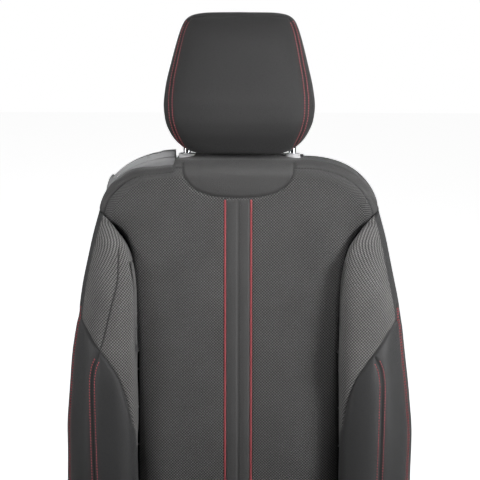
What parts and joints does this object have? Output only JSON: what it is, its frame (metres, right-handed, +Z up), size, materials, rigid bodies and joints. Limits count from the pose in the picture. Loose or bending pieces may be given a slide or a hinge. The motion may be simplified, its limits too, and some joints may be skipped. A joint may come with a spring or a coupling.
{
  "type": "sports car seat",
  "caption": "Front sports seat with side bolsters and mesh centre, height-adjustable head restraint, reclining backrest, sliding floor rails and a shoulder fold lever.",
  "frame": {"origin": "centre of the rectangle of floor bolt holes, on the floor under the rails", "axes": "+Z up, the occupant faces -Y, +X is the inboard (tunnel) side"},
  "size_m": [0.552, 0.8087, 1.1198],
  "materials": {
    "rail_steel": "satin",
    "frame_paint": "satin",
    "bare_steel": "satin",
    "zinc_bolts": "satin",
    "post_chrome": "polished",
    "trim_plastic": "matte",
    "inner_plastic": "matte",
    "grip_rubber": "matte",
    "bar_paint": "satin",
    "collar_plastic": "satin",
    "release_plastic": "satin",
    "mesh_fabric": "matte",
    "smooth_leather": "satin"
  },
  "bodies": {
    "floor_rails": {"lower_rail_outboard": "rail_steel", "lower_rail_inboard": "rail_steel"},
    "seat_base": {"upper_rail_outboard": "rail_steel", "upper_rail_inboard": "rail_steel", "rail_glides": "inner_plastic", "base_side_outboard": "frame_paint", "base_side_inboard": "frame_paint", "rail_bolts": "zinc_bolts", "recliner_bolts": "zinc_bolts", "front_cross_tube": "frame_paint", "rear_cross_tube": "frame_paint", "seat_pan": "frame_paint", "cushion_springs": "bare_steel", "recliner_fixed_outboard": "bare_steel", "recliner_fixed_inboard": "bare_steel", "side_trim_outboard": "trim_plastic", "side_trim_inboard": "trim_plastic", "trim_screws": "zinc_bolts", "handle_brackets": "frame_paint", "cushion_center_pad": "mesh_fabric", "cushion_bolster_outboard": "mesh_fabric", "cushion_bolster_inboard": "mesh_fabric"},
    "slide_handle": {"slide_bar": "bar_paint", "slide_grip": "grip_rubber"},
    "recline_handle": {"recline_lever": "trim_plastic", "sync_rod": "bare_steel"},
    "backrest": {"backrest_center_pad": "mesh_fabric", "backrest_bolster_outboard": "mesh_fabric", "backrest_bolster_inboard": "mesh_fabric", "back_side_outboard": "frame_paint", "back_side_inboard": "frame_paint", "recliner_moving_outboard": "bare_steel", "recliner_moving_inboard": "bare_steel", "back_upper_cross": "frame_paint", "back_lower_cross": "frame_paint", "back_wires": "bare_steel", "lumbar_panel": "inner_plastic", "back_panel": "trim_plastic", "guide_tube_outboard": "frame_paint", "guide_tube_inboard": "frame_paint", "guide_sleeve_outboard": "collar_plastic", "guide_sleeve_inboard": "collar_plastic", "release_housing": "release_plastic", "release_pin": "bare_steel"},
    "shoulder_release": {"release_lever": "release_plastic"},
    "head_restraint": {"headrest_post_outboard": "post_chrome", "headrest_post_inboard": "post_chrome", "headrest_armature": "bare_steel", "headrest_core": "inner_plastic", "headrest_pad": "smooth_leather"},
    "height_button": {"headrest_button": "trim_plastic"}
  },
  "joints": [
    {"name": "seat_slide", "type": "slide", "parent": "floor_rails", "child": "seat_base", "axis": [0, -1, 0], "range_m": [-0.1, 0.1]},
    {"name": "slide_handle_lift", "type": "hinge", "parent": "seat_base", "child": "slide_handle", "pos_m": [0, -0.07, 0.054], "axis": [-1, 0, 0], "range_deg": [0, 10], "stiffness_Nm_per_rad": 3},
    {"name": "recline", "type": "hinge", "parent": "seat_base", "child": "backrest", "pos_m": [0, 0.19, 0.22], "axis": [-1, 0, 0], "range_deg": [-30, 45]},
    {"name": "recline_lever_pull", "type": "hinge", "parent": "seat_base", "child": "recline_handle", "pos_m": [0, 0.19, 0.22], "axis": [-1, 0, 0], "range_deg": [0, 20], "stiffness_Nm_per_rad": 2},
    {"name": "release_lever_pull", "type": "hinge", "parent": "backrest", "child": "shoulder_release", "pos_m": [-0.13338, 0.39917, 0.88087], "axis": [0, 0.9659, -0.2588], "range_deg": [0, 20], "stiffness_Nm_per_rad": 0.2},
    {"name": "headrest_height", "type": "slide", "parent": "backrest", "child": "head_restraint", "axis": [0, 0.2588, 0.9659], "range_m": [0, 0.07]},
    {"name": "headrest_button_push", "type": "slide", "parent": "backrest", "child": "height_button", "axis": [-1, 0, 0], "range_m": [0, 0.003], "stiffness_N_per_m": 800}
  ]
}
